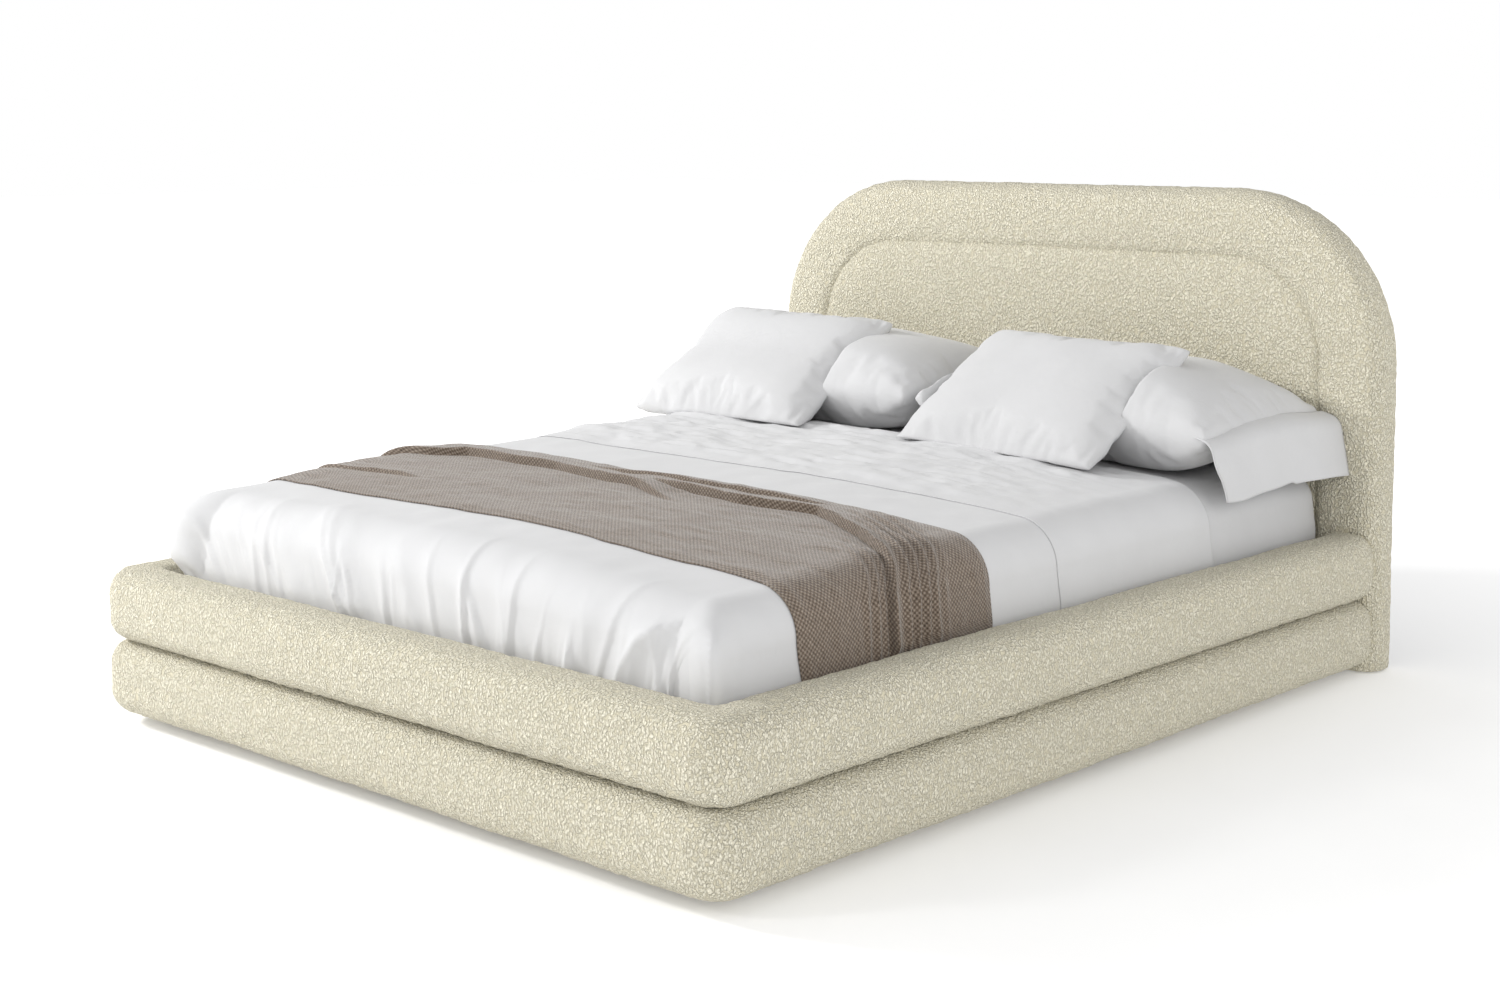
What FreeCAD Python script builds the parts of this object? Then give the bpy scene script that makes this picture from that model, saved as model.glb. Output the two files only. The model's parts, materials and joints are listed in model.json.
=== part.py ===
import FreeCAD, Part
import math
import os

# Upholstered bed with an arched headboard, its inner frame, mattress and bedding.
# Millimetres. +X is the width, +Y points to the headboard, +Z is up.
# The origin is on the floor under the middle of the bed.

os.makedirs("parts", exist_ok=True)
V = FreeCAD.Vector

# Driving dimensions
WIDTH = 1810.0
LENGTH = 2282.0
HEIGHT = 1105.0
HEADBOARD_DEPTH = 100.0
ARCH_R = 400.0            # outer top corners of the headboard
BORDER = 157.0            # width of the border round the centre panel
RAIL_THICKNESS = 117.0
RAIL_BOTTOM = 21.0        # the rails stand clear of the floor
TIER_SEAM = 174.0         # where the lower tier meets the upper one
RAIL_TOP = 327.0
MATTRESS = (1524.0, 2032.0, 255.0)
DECK_TOP = 240.0          # top of the slats

# Places that follow from them
HALF_W = WIDTH / 2
FOOT = -LENGTH / 2
BACK = LENGTH / 2
HEAD_FACE = BACK - HEADBOARD_DEPTH

# Rails
PLAN_CORNER_R = 75.0
TIER_EDGE_R = 48.0
INNER_EDGE_R = 40.0
END_EDGE_R = 22.0
BOARD = 19.0
BOARD_OUT = HALF_W - 94.0
BOARD_IN = BOARD_OUT - BOARD
BOARD_BOTTOM = 30.0
BOARD_TOP = 271.0
FOOT_BOARD_OUT = FOOT + 94.0
FOOT_BOARD_IN = FOOT_BOARD_OUT + BOARD
LINING = 2.0

# Headboard
FLOOR_GAP = 6.0
FRONT_EDGE_R = 38.0
BACK_EDGE_R = 30.0
SEAM_EDGE_R = 12.0
PAD = 45.0
PLY = 18.0
WRAP = 32.0               # foam between the panel's edge and the outline
COVER = 2.0
CENTER_PAD_BOTTOM = 225.0
POST_IN = 800.0           # the posts stand between these distances from the middle
POST_OUT = 860.0
POST_TOP = 760.0
CROSS_RAIL_BOTTOM = 20.0
CROSS_RAIL_HEIGHT = 60.0
BACK_COVER_INSET = 24.0
GLIDE_R = 15.0

# Mattress base
SLAT_COUNT = 10
SLAT_WIDTH = 100.0
SLAT_THICKNESS = 20.0
END_SLAT_Y = 960.0
LEDGE = 30.0
BEAM_HALF_WIDTH = 25.0
BEAM_HEIGHT = 65.0
LEG_PLACES = (-560.0, 0.0, 560.0)
LEG_R = 18.0
LEG_GLIDE_R = 24.0
RAIL_FOOT = 60.0
RAIL_FOOT_DEPTH = 45.0
SIDE_FOOT_PLACES = (-990.0, 0.0, 980.0)

# Steel fittings
PLATE = 3.0
BRACKET_BOTTOM = 60.0
BRACKET_TOP = 170.0
CORNER_ARM = 60.0
BEAM_PLATE_HALF_WIDTH = 40.0
BEAM_PLATE_DROP = 45.0
BOLT_R = 4.0
BOLT_HOLE_R = 4.3
BOLT_HEIGHTS = (85, 145)

# Bedding
MATTRESS_Y = 11.0
MATTRESS_CORNER_R = 70.0
MATTRESS_EDGE_R = 65.0
SHEET = 1.5
COVER_LAYER = 6.0
FOLD_LAYER = 5.0
THROW_LAYER = 5.0
COVER_HEAD_END = 535.0
FOLD_HEM = -30.0
THROW_FOOT_EDGE = -800.0
THROW_HEAD_EDGE = -255.0
CASE = 1.5


def box(x0, x1, y0, y1, z0, z1):
    return Part.makeBox(x1 - x0, y1 - y0, z1 - z0, V(x0, y0, z0))


def rod(r, start, direction, length):
    return Part.makeCylinder(r, length, start, direction)


def mirrored(shape):
    return shape.mirror(V(0, 0, 0), V(1, 0, 0))


def save(node, *shapes):
    whole = shapes[0] if len(shapes) == 1 else Part.makeCompound(list(shapes))
    whole.exportStep("parts/" + node + ".step")


def near(a, b):
    return abs(a - b) < 0.01


def edges_where(shape, test):
    return [e for e in shape.Edges if test(e.BoundBox)]


# ---------------------------------------------------------------- headboard

def arch(half_w, bottom, top, r, y0, y1):
    """Upright panel with two rounded top corners, y0 to y1 thick."""
    k = r * math.sqrt(0.5)
    p = [V(-half_w, y0, bottom), V(-half_w, y0, top - r), V(-half_w + r, y0, top),
         V(half_w - r, y0, top), V(half_w, y0, top - r), V(half_w, y0, bottom)]
    left_mid = V(-half_w + r - k, y0, top - r + k)
    right_mid = V(half_w - r + k, y0, top - r + k)
    edges = [Part.makeLine(p[0], p[1]),
             Part.Arc(p[1], left_mid, p[2]).toShape(),
             Part.makeLine(p[2], p[3]),
             Part.Arc(p[3], right_mid, p[4]).toShape(),
             Part.makeLine(p[4], p[5]),
             Part.makeLine(p[5], p[0])]
    return Part.Face(Part.Wire(edges)).extrude(V(0, y1 - y0, 0))


def arch_rim(shape, y, bottom):
    """Edges of an arch in the plane y, without the one along the floor."""
    def on_rim(b):
        return near(b.YMin, y) and near(b.YMax, y) and not (near(b.ZMin, bottom) and near(b.ZMax, bottom))
    return edges_where(shape, on_rim)


def inset_arch(inset, bottom, y0, y1):
    return arch(HALF_W - inset, bottom, HEIGHT - inset, ARCH_R - inset, y0, y1)


def headboard_border_pad():
    bottom = FLOOR_GAP - 2
    pad = inset_arch(0, bottom, HEAD_FACE, BACK - COVER)
    pad = pad.makeFillet(FRONT_EDGE_R, arch_rim(pad, HEAD_FACE, bottom))
    pad = pad.makeFillet(BACK_EDGE_R, arch_rim(pad, BACK - COVER, bottom))
    window = inset_arch(BORDER - SEAM_EDGE_R, -50, HEAD_FACE - 50, HEAD_FACE + SEAM_EDGE_R)
    pad = pad.cut(inset_arch(BORDER, -50, HEAD_FACE - 50, HEAD_FACE + PAD))
    pad = pad.cut(inset_arch(WRAP, -50, HEAD_FACE + PAD, BACK))
    rolled = window.cut(seam_roll())
    return pad.cut(rolled)


def seam_roll():
    """What is left of the border's inner front edge once it is rounded."""
    roll = inset_arch(0, -50, HEAD_FACE, HEAD_FACE + SEAM_EDGE_R)
    roll = roll.cut(inset_arch(BORDER, -50, HEAD_FACE - 1, HEAD_FACE + SEAM_EDGE_R + 1))
    inner = [e for e in arch_rim(roll, HEAD_FACE, -50) if e.BoundBox.XMax < HALF_W - BORDER + 1
             and e.BoundBox.XMin > -HALF_W + BORDER - 1 and e.BoundBox.ZMax < HEIGHT - BORDER + 1]
    return roll.makeFillet(SEAM_EDGE_R - 0.5, inner)


def headboard_center_pad():
    gap = 1.0
    pad = inset_arch(BORDER + gap, CENTER_PAD_BOTTOM, HEAD_FACE, HEAD_FACE + PAD)
    return pad.makeFillet(SEAM_EDGE_R, arch_rim(pad, HEAD_FACE, CENTER_PAD_BOTTOM))


def make_headboard(bolt_holes):
    panel_y = HEAD_FACE + PAD
    post_y = panel_y + PLY
    save("headboard_panel", inset_arch(WRAP, FLOOR_GAP, panel_y, post_y).cut(bolt_holes))
    post = box(POST_IN, POST_OUT, post_y, BACK - COVER, FLOOR_GAP, POST_TOP)
    save("headboard_post_right", post)
    save("headboard_post_left", mirrored(post))
    for place, z in (("top", POST_TOP - CROSS_RAIL_HEIGHT), ("bottom", CROSS_RAIL_BOTTOM)):
        cross_rail = box(-POST_IN, POST_IN, post_y, BACK - COVER, z, z + CROSS_RAIL_HEIGHT)
        save("headboard_cross_rail_" + place, cross_rail)
    save("headboard_center_pad", headboard_center_pad())
    save("headboard_border_pad", headboard_border_pad().cut(bolt_holes))
    save("headboard_back_cover", inset_arch(BACK_COVER_INSET, FLOOR_GAP + 4, BACK - COVER, BACK))
    glide_at = V((POST_IN + POST_OUT) / 2, BACK - COVER - 18, 0)
    glide = rod(GLIDE_R, glide_at, V(0, 0, 1), FLOOR_GAP)
    save("headboard_glides", glide, mirrored(glide))


# ---------------------------------------------------------------- rails

def tier(z0, z1, thickness):
    """One padded tier: left rail, foot rail and right rail in one U, open at the head."""
    outer = box(-HALF_W, HALF_W, FOOT, HEAD_FACE, z0, z1)
    upright = edges_where(outer, lambda b: near(b.ZMin, z0) and near(b.ZMax, z1) and b.YMax < 0)
    outer = outer.makeFillet(PLAN_CORNER_R, upright)

    def outside(b):
        return near(b.ZMin, b.ZMax) and not near(b.YMin, HEAD_FACE)
    outer = outer.makeFillet(TIER_EDGE_R, edges_where(outer, outside))

    def side_end(b):
        return near(b.YMin, HEAD_FACE) and near(b.YMax, HEAD_FACE)
    outer = outer.makeFillet(END_EDGE_R, edges_where(outer, side_end))
    hollow = box(-HALF_W + thickness, HALF_W - thickness, FOOT + thickness, HEAD_FACE + 1, z0 - 1, z1 + 1)
    return outer.cut(hollow)


def inner_roundings():
    """What the rounded inner top edges take off the upper foot and right pads."""
    r = INNER_EDGE_R
    z = RAIL_TOP - r
    x = HALF_W - RAIL_THICKNESS
    y = FOOT + RAIL_THICKNESS
    side = box(x - 1, x + r, FOOT, BACK, z, RAIL_TOP + 1).cut(rod(r, V(x + r, FOOT, z), V(0, 1, 0), LENGTH))
    foot = box(-HALF_W, HALF_W, y - r, y + 1, z, RAIL_TOP + 1)
    foot = foot.cut(rod(r, V(-HALF_W, y - r, z), V(1, 0, 0), WIDTH))
    return foot, side


def mitred(ring):
    """Cut a tier at 45 degrees through both foot corners."""
    corner_x = HALF_W + 100
    corner_y = FOOT - 100
    reach = 400
    inner_x = corner_x - reach
    inner_y = corner_y + reach
    foot = Part.makePolygon([V(-corner_x, corner_y, 0), V(-inner_x, inner_y, 0), V(inner_x, inner_y, 0),
                             V(corner_x, corner_y, 0), V(-corner_x, corner_y, 0)])
    side = Part.makePolygon([V(corner_x, corner_y, 0), V(corner_x, BACK, 0), V(inner_x, BACK, 0),
                             V(inner_x, inner_y, 0), V(corner_x, corner_y, 0)])
    up = V(0, 0, HEIGHT)
    foot_part = ring.common(Part.Face(foot).extrude(up))
    right_part = ring.common(Part.Face(side).extrude(up))
    return foot_part, right_part


def make_rails(side_holes, foot_holes):
    board_zone = box(-BOARD_OUT, BOARD_OUT, FOOT_BOARD_OUT, BACK, 0, BOARD_TOP)
    for name, z0, z1 in (("upper", TIER_SEAM, RAIL_TOP), ("lower", RAIL_BOTTOM, TIER_SEAM)):
        thickness = RAIL_THICKNESS if name == "upper" else HALF_W - BOARD_OUT
        foot, right = mitred(tier(z0, z1, thickness).cut(board_zone))
        if name == "upper":
            foot_rounding, side_rounding = inner_roundings()
            foot = foot.cut(foot_rounding)
            right = right.cut(side_rounding)
        save(name + "_pad_foot", foot)
        save(name + "_pad_right", right)
        save(name + "_pad_left", mirrored(right))

    head_end = HEAD_FACE - 3
    side = box(BOARD_IN, BOARD_OUT, FOOT_BOARD_OUT, head_end, BOARD_BOTTOM, BOARD_TOP).cut(side_holes)
    save("rail_board_right", side)
    save("rail_board_left", mirrored(side))
    foot = box(-BOARD_IN, BOARD_IN, FOOT_BOARD_OUT, FOOT_BOARD_IN, BOARD_BOTTOM, BOARD_TOP)
    save("rail_board_foot", foot.cut(foot_holes).cut(mirrored(foot_holes)))

    lining_z = DECK_TOP - 18
    side_lining = box(BOARD_IN - LINING, BOARD_IN, FOOT_BOARD_IN + LINING, head_end, lining_z, BOARD_TOP)
    save("lining_right", side_lining)
    save("lining_left", mirrored(side_lining))
    save("lining_foot", box(-BOARD_IN, BOARD_IN, FOOT_BOARD_IN, FOOT_BOARD_IN + LINING, lining_z, BOARD_TOP))


def make_rail_feet():
    """Hidden feet that carry the rails clear of the floor."""
    feet = []
    half = RAIL_FOOT / 2
    for y in SIDE_FOOT_PLACES:
        foot = box(BOARD_OUT - RAIL_FOOT_DEPTH, BOARD_OUT, y - half, y + half, 0, BOARD_BOTTOM)
        feet += [foot, mirrored(foot)]
    feet.append(box(-half, half, FOOT_BOARD_OUT, FOOT_BOARD_OUT + RAIL_FOOT_DEPTH, 0, BOARD_BOTTOM))
    save("rail_feet", *feet)


# ---------------------------------------------------------------- mattress base

def make_base():
    slat_bottom = DECK_TOP - SLAT_THICKNESS
    ledge = box(BOARD_IN - LEDGE, BOARD_IN, -1020, 1000, slat_bottom - LEDGE, slat_bottom)
    save("slat_ledge_right", ledge)
    save("slat_ledge_left", mirrored(ledge))

    pitch = 2 * END_SLAT_Y / (SLAT_COUNT - 1)
    slat_x = BOARD_IN - 4
    for i in range(SLAT_COUNT):
        y = i * pitch - END_SLAT_Y
        slat = box(-slat_x, slat_x, y - SLAT_WIDTH / 2, y + SLAT_WIDTH / 2, slat_bottom, DECK_TOP)
        save("slat_%02d" % (i + 1), slat)

    beam_bottom = slat_bottom - BEAM_HEIGHT
    b = BEAM_HALF_WIDTH
    beam_head = HEAD_FACE + PAD - 6
    save("center_beam", box(-b, b, FOOT_BOARD_IN + 4, beam_head, beam_bottom, slat_bottom))
    w = BEAM_PLATE_HALF_WIDTH
    low = beam_bottom - BEAM_PLATE_DROP
    high = slat_bottom - 5
    foot_plate = box(-w, w, FOOT_BOARD_IN, FOOT_BOARD_IN + PLATE, low, high)
    foot_shelf = box(-b, b, FOOT_BOARD_IN, FOOT_BOARD_IN + 50, beam_bottom - PLATE, beam_bottom)
    save("beam_bracket_foot", foot_plate.fuse(foot_shelf).removeSplitter())
    head_y = HEAD_FACE + PAD
    head_plate = box(-w, w, head_y - PLATE, head_y, low, high)
    head_shelf = box(-b, b, head_y - 85, head_y, beam_bottom - PLATE, beam_bottom)
    save("beam_bracket_head", head_plate.fuse(head_shelf).removeSplitter())

    glides = []
    glide_floor = 8
    for i, y in enumerate(LEG_PLACES):
        leg = rod(LEG_R, V(0, y, glide_floor), V(0, 0, 1), beam_bottom - glide_floor)
        save("center_leg_%d" % (i + 1), leg)
        glides.append(rod(LEG_GLIDE_R, V(0, y, 0), V(0, 0, 1), 22).cut(leg))
    save("center_leg_glides", *glides)


# ---------------------------------------------------------------- brackets and bolts

def bolt(start, direction, length):
    """Hexagon bolt: the head stands back from start, the shank runs along direction."""
    head_flats = 13.0
    head_height = 5.5
    points = []
    for i in range(7):
        a = math.radians(60 * i)
        r = head_flats / math.sqrt(3)
        points.append(V(r * math.cos(a), r * math.sin(a), -head_height))
    head = Part.Face(Part.makePolygon(points)).extrude(V(0, 0, head_height))
    whole = head.fuse(rod(BOLT_R, V(0, 0, 0), V(0, 0, 1), length))
    whole.Placement = FreeCAD.Placement(start, FreeCAD.Rotation(V(0, 0, 1), direction))
    return whole


def bolt_row(x, y, direction, length, hole):
    """Bolts one above the other, or the holes for them."""
    made = []
    for z in BOLT_HEIGHTS:
        start = V(x, y, z)
        made.append(rod(BOLT_HOLE_R, start, direction, length + 0.5) if hole else bolt(start, direction, length))
    return made


def angle_bracket(side_y0, side_y1, cross_y0, cross_y1, cross_x):
    side = box(BOARD_IN - PLATE, BOARD_IN, side_y0, side_y1, BRACKET_BOTTOM, BRACKET_TOP)
    cross = box(cross_x, BOARD_IN, cross_y0, cross_y1, BRACKET_BOTTOM, BRACKET_TOP)
    return side.fuse(cross).removeSplitter()


def make_brackets():
    """Corner and headboard brackets. Returns the bolt holes for the parts they pass."""
    x_side = BOARD_IN - PLATE
    out = V(1, 0, 0)
    foot_rows = ((x_side, FOOT_BOARD_IN + 38, out, PLATE + 18),
                 (BOARD_IN - 37, FOOT_BOARD_IN + PLATE, V(0, -1, 0), PLATE + 15))
    head_rows = ((x_side, HEAD_FACE - 41, out, PLATE + 18),
                 (BOARD_IN - 22, HEAD_FACE - PLATE, V(0, 1, 0), PLATE + PAD + PLY))
    made = {}
    for name, rows in (("foot", foot_rows), ("head", head_rows)):
        made[name] = [Part.makeCompound(bolt_row(*row, True)) for row in rows]
        bolts = [b for row in rows for b in bolt_row(*row, False)]
        bolts += [mirrored(b) for b in bolts]
        save("corner_bolts" if name == "foot" else "headboard_bolts", *bolts)

    arm_end = FOOT_BOARD_IN + CORNER_ARM
    corner = angle_bracket(FOOT_BOARD_IN, arm_end, FOOT_BOARD_IN, FOOT_BOARD_IN + PLATE, BOARD_IN - CORNER_ARM)
    corner = corner.cut(made["foot"][0]).cut(made["foot"][1])
    save("corner_bracket_right", corner)
    save("corner_bracket_left", mirrored(corner))
    head = angle_bracket(HEAD_FACE - 63, HEAD_FACE, HEAD_FACE - PLATE, HEAD_FACE, BOARD_IN - 40)
    head = head.cut(made["head"][0]).cut(made["head"][1])
    save("headboard_bracket_right", head)
    save("headboard_bracket_left", mirrored(head))
    side_holes = Part.makeCompound([made["foot"][0], made["head"][0]])
    head_holes = Part.makeCompound([made["head"][1], mirrored(made["head"][1])])
    return side_holes, made["foot"][1], head_holes


# ---------------------------------------------------------------- bedding

def mattress_shape(grow):
    """The mattress, grown on its sides and top."""
    w, d, h = MATTRESS
    x = w / 2 + grow
    top = DECK_TOP + h + grow
    block = box(-x, x, MATTRESS_Y - d / 2 - grow, MATTRESS_Y + d / 2 + grow, DECK_TOP, top)
    upright = edges_where(block, lambda b: near(b.ZMin, DECK_TOP) and near(b.ZMax, top))
    block = block.makeFillet(MATTRESS_CORNER_R + grow, upright)
    rim = edges_where(block, lambda b: near(b.ZMin, top) and near(b.ZMax, top))
    return block.makeFillet(min(MATTRESS_EDGE_R + grow, MATTRESS_CORNER_R + grow - 1), rim)


def layer(inner_grow, thickness, y0, y1, z0):
    """A sheet of even thickness lying over the bed between y0 and y1."""
    skin = mattress_shape(inner_grow + thickness).cut(mattress_shape(inner_grow))
    reach = WIDTH
    return skin.common(box(-reach, reach, y0, y1, z0, HEIGHT))


def make_bedding():
    save("mattress", mattress_shape(0))
    save("fitted_sheet", layer(0, SHEET, -LENGTH, LENGTH, DECK_TOP + 2))
    under = SHEET + COVER_LAYER
    body = layer(SHEET, COVER_LAYER, -LENGTH, COVER_HEAD_END, DECK_TOP + 12)
    fold = layer(under, FOLD_LAYER, FOLD_HEM, COVER_HEAD_END, DECK_TOP + 12)
    save("top_cover", body.fuse(fold).removeSplitter())
    save("throw", layer(under, THROW_LAYER, THROW_FOOT_EDGE, THROW_HEAD_EDGE, DECK_TOP + 16))


def cushion(size, edge_r, grow=0.0):
    """Rounded block centred on the origin."""
    w, d, t = [s + 2 * grow for s in size]
    block = box(-w / 2, w / 2, -d / 2, d / 2, -t / 2, t / 2)
    return block.makeFillet(edge_r + grow, block.Edges)


BACK_PILLOW = (800.0, 500.0, 226.0)
BACK_EDGE = 95.0
BACK_CENTERS = {"left": V(-460, 786, 610.5), "right": V(365, 786, 610.5)}
FRONT_PILLOW = (570.0, 430.0, 104.0)
FRONT_EDGE = 50.0
FRONT_TILT = 33.0
FRONT_PLACES = {"left": (V(-594, 612, 650), 0.0), "right": (V(285, 607, 650), -5.0)}
PRESSED_LEVEL = -22.0     # where the two press flat, below the middle of the front pillow
PILLOW_GAP = 2.0


def leaned(shape, side):
    """Put a shape from the front pillow's own frame in its place."""
    center, yaw = FRONT_PLACES[side]
    shape.rotate(V(0, 0, 0), V(1, 0, 0), FRONT_TILT)
    shape.rotate(V(0, 0, 0), V(0, 0, 1), yaw)
    shape.translate(center)
    return shape


def back_pillow(side, grow):
    """Pillow lying flat, pressed in where the front pillow leans on it."""
    shape = cushion(BACK_PILLOW, BACK_EDGE, grow)
    shape.translate(BACK_CENTERS[side])
    reach = FRONT_PILLOW[0] / 2 + 12
    pressed = box(-reach, reach, -300, 300, PRESSED_LEVEL + grow, 300)
    return shape.cut(leaned(pressed, side))


def front_pillow(side, grow, clearance):
    return leaned(cushion(FRONT_PILLOW, FRONT_EDGE, grow), side).cut(back_pillow(side, clearance))


def open_hem():
    """Empty open end of the back right case, hanging over the side of the mattress."""
    t = 3.0
    outline = [(755, 600), (800, 598), (842, 454)]
    points = [V(x, 0, z) for x, z in outline]
    points += [V(x + t, 0, z + t) for x, z in reversed(outline)]
    strip = Part.Face(Part.makePolygon(points + points[:1])).extrude(V(0, 470, 0))
    strip.translate(V(0, 560, 0))
    return strip


def make_pillows():
    for side in ("left", "right"):
        insert = back_pillow(side, -CASE)
        case = back_pillow(side, 0.0)
        if side == "right":
            case = case.fuse(open_hem()).removeSplitter()
        save("pillow_back_" + side, insert)
        save("pillowcase_back_" + side, case.cut(insert))
        insert = front_pillow(side, -CASE, PILLOW_GAP + CASE)
        save("pillow_front_" + side, insert)
        save("pillowcase_front_" + side, front_pillow(side, 0.0, PILLOW_GAP).cut(insert))


side_bolt_holes, foot_bolt_holes, head_bolt_holes = make_brackets()
make_headboard(head_bolt_holes)
make_rails(side_bolt_holes, foot_bolt_holes)
make_rail_feet()
make_base()
make_bedding()
make_pillows()
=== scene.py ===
import json
import math

import bmesh
import bpy
import numpy as np
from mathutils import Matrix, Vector


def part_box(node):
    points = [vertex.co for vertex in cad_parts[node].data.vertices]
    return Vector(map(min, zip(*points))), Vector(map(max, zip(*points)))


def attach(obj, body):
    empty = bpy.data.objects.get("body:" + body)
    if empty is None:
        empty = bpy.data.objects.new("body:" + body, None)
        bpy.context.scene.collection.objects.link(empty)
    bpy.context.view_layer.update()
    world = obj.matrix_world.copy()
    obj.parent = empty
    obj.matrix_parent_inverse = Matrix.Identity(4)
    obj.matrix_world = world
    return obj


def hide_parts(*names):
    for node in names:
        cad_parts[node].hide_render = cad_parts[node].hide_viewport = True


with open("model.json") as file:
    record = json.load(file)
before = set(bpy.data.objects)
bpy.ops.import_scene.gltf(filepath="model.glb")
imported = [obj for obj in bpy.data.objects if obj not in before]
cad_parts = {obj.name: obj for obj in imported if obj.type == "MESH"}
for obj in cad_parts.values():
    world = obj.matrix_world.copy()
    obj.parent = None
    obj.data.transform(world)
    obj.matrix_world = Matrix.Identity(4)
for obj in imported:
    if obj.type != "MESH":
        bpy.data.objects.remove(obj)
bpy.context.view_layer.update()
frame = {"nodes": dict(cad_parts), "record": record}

NODES = [s["node"] for s in frame["record"]["subparts"]]

# Places read from the frame, in metres
MATTRESS_LOW, MATTRESS_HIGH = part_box("mattress")
CENTER_LOW, CENTER_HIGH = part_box("headboard_center_pad")
BORDER_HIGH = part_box("headboard_border_pad")[1]
THROW_LOW, THROW_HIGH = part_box("throw")
COVER_LOW, COVER_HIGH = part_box("top_cover")
RAIL_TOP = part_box("upper_pad_foot")[1].z


# ---- numbers and noise

def smoothstep(x, low, high):
    """0 at low, 1 at high and a smooth step between. Low may be the greater of the two."""
    t = np.clip((x - low) / (high - low), 0.0, 1.0)
    return t * t * (3 - 2 * t)


def lattice_noise(points, size, seed):
    """Smooth noise from -1 to 1 at each point, with bumps about size metres apart."""
    cells = 64
    table = np.random.default_rng(seed).uniform(-1, 1, (cells, cells, cells))
    p = np.asarray(points, float) / np.asarray(size, float)
    whole = np.floor(p).astype(int)
    f = p - whole
    f = f * f * (3 - 2 * f)
    total = np.zeros(len(p))
    for corner in np.ndindex(2, 2, 2):
        share = np.where(corner, f, 1 - f)
        x, y, z = ((whole + corner) % cells).T
        total += share[:, 0] * share[:, 1] * share[:, 2] * table[x, y, z]
    return total


def cloth_noise(u, v, size, seed):
    """Smooth noise from -1 to 1 over cloth coordinates."""
    points = np.stack([u.ravel(), v.ravel(), np.zeros(u.size)], -1)
    return lattice_noise(points, (*size, 1), seed).reshape(u.shape)


def layered(u, v, layers):
    """Sum of cloth noises, each given as its height, its size and its seed."""
    total = 0.0
    for height, size, seed in layers:
        total = total + height * cloth_noise(u, v, size, seed)
    return total


# ---- meshes

def link(name, data):
    obj = bpy.data.objects.new(name, data)
    bpy.context.scene.collection.objects.link(obj)
    return obj


def coordinates(mesh):
    co = np.empty(len(mesh.vertices) * 3)
    mesh.vertices.foreach_get("co", co)
    return co.reshape(-1, 3)


def set_coordinates(mesh, co):
    mesh.vertices.foreach_set("co", np.asarray(co, float).ravel())
    mesh.update()


def normals(mesh):
    no = np.empty(len(mesh.vertices) * 3)
    mesh.vertex_normals.foreach_get("vector", no)
    return no.reshape(-1, 3)


def applied(obj):
    """Replace the object's mesh by what its modifiers make of it."""
    graph = bpy.context.evaluated_depsgraph_get()
    mesh = bpy.data.meshes.new_from_object(obj.evaluated_get(graph))
    obj.modifiers.clear()
    obj.data = mesh
    return obj


def finished(obj, material, slot, body, *replaced):
    """Give a piece its material and its body, and hide the CAD nodes that it stands for."""
    obj.data.materials.clear()
    obj.data.materials.append(material)
    obj.data.shade_smooth()
    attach(obj, body)
    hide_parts(*replaced)


def join(meshes, target):
    """Fill the target mesh with all of the meshes, which may include itself."""
    bm = bmesh.new()
    for mesh in meshes:
        bm.from_mesh(mesh)
    bm.to_mesh(target)
    bm.free()


def even_copy(name, nodes, voxel):
    """The outside of several CAD nodes as one mesh of even quads."""
    obj = link(name, bpy.data.meshes.new(name))
    join([frame["nodes"][n].data for n in nodes], obj.data)
    remesh = obj.modifiers.new("even", "REMESH")
    remesh.mode = "VOXEL"
    remesh.voxel_size = voxel
    soften = obj.modifiers.new("soften", "SMOOTH")
    soften.factor = 0.5
    soften.iterations = 6
    return applied(obj)


def grid_quads(ids):
    return np.stack([ids[:-1, :-1], ids[:-1, 1:], ids[1:, 1:], ids[1:, :-1]], -1).reshape(-1, 4)


def grid_mesh(name, points, uvs):
    """Mesh from a rows x columns x 3 array of points, with cloth coordinates in metres."""
    rows, cols = points.shape[:2]
    quads = grid_quads(np.arange(rows * cols).reshape(rows, cols))
    mesh = bpy.data.meshes.new(name)
    mesh.from_pydata(points.reshape(-1, 3).tolist(), [], quads.tolist())
    layer = mesh.uv_layers.new(name="weave")
    flat = uvs.reshape(-1, 2)[quads.ravel()]
    layer.data.foreach_set("uv", flat.ravel())
    return link(name, mesh)


# ---- materials

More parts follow.
